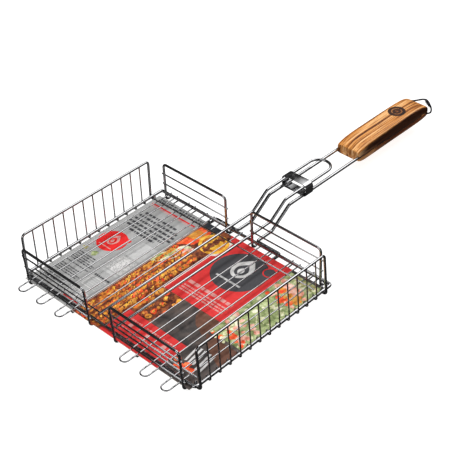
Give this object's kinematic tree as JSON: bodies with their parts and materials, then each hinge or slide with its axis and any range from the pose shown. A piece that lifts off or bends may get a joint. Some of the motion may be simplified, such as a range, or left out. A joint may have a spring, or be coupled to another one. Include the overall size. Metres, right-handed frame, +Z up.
{
  "type": "grill basket",
  "caption": "Wire grill basket with folding side walls and end panels, hinged wire lid, two-rod handle with sliding lock band, split wooden grip and hanging cord.",
  "frame": {"origin": "centre of the footprint, on the surface that the rods under the floor stand on", "axes": "+X towards the wooden grip, +Y to the left seen from the front with the grip behind, +Z up"},
  "size_m": [0.7577, 0.3634, 0.078],
  "materials": {
    "chrome": "polished chrome-plated wire",
    "band": "polished chrome-plated sheet",
    "screw": "plated steel",
    "wood": "oiled light wood with brown grain",
    "card": "satin printed card",
    "cord": "black twisted cord"
  },
  "bodies": {
    "base": {"base_rail": "chrome", "floor_wire_1": "chrome", "floor_wire_2": "chrome", "floor_wire_3": "chrome", "floor_wire_4": "chrome", "floor_wire_5": "chrome", "floor_wire_6": "chrome", "floor_wire_7": "chrome", "floor_wire_8": "chrome", "display_card": "card", "handle_rod_left": "chrome", "handle_rod_right": "chrome", "grip_upper": "wood", "grip_lower": "wood", "grip_screw_1": "screw", "grip_screw_2": "screw", "hanging_cord": "cord"},
    "lid": {"lid_hairpin_1": "chrome", "lid_hairpin_2": "chrome", "lid_hairpin_3": "chrome", "lid_hairpin_4": "chrome", "lid_hairpin_5": "chrome", "lid_hairpin_6": "chrome", "lid_wire_1": "chrome", "lid_wire_2": "chrome", "lid_wire_3": "chrome", "lid_cross_wire_front": "chrome", "lid_cross_wire_back": "chrome", "lid_tongue": "chrome"},
    "lock": {"lock_band": "band"},
    "left_wall": {"wall_left": "chrome"},
    "right_wall": {"wall_right": "chrome"},
    "front_left_panel": {"end_panel_front_left": "chrome"},
    "front_right_panel": {"end_panel_front_right": "chrome"},
    "back_left_panel": {"end_panel_back_left": "chrome"},
    "back_right_panel": {"end_panel_back_right": "chrome"}
  },
  "joints": [
    {"name": "lid_hinge", "type": "hinge", "parent": "base", "child": "lid", "pos_m": [-0.33945, 0, 0.011], "axis": [0, -1, 0], "range_deg": [0, 38]},
    {"name": "lock_slide", "type": "slide", "parent": "base", "child": "lock", "axis": [1, 0, 0], "range_m": [0, 0.095]},
    {"name": "left_wall_fold", "type": "hinge", "parent": "base", "child": "left_wall", "pos_m": [-0.20225, 0.175, 0.011], "axis": [-1, 0, 0], "range_deg": [-5, 75]},
    {"name": "right_wall_fold", "type": "hinge", "parent": "base", "child": "right_wall", "pos_m": [-0.20225, -0.175, 0.011], "axis": [1, 0, 0], "range_deg": [-5, 75]},
    {"name": "front_left_panel_fold", "type": "hinge", "parent": "base", "child": "front_left_panel", "pos_m": [-0.33945, 0, 0.011], "axis": [0, -1, 0], "range_deg": [-60, 0]},
    {"name": "front_right_panel_fold", "type": "hinge", "parent": "base", "child": "front_right_panel", "pos_m": [-0.33945, 0, 0.011], "axis": [0, -1, 0], "range_deg": [-60, 0]},
    {"name": "back_left_panel_fold", "type": "hinge", "parent": "base", "child": "back_left_panel", "pos_m": [-0.06505, 0, 0.011], "axis": [0, 1, 0], "range_deg": [0, 60]},
    {"name": "back_right_panel_fold", "type": "hinge", "parent": "base", "child": "back_right_panel", "pos_m": [-0.06505, 0, 0.011], "axis": [0, 1, 0], "range_deg": [0, 60]}
  ]
}
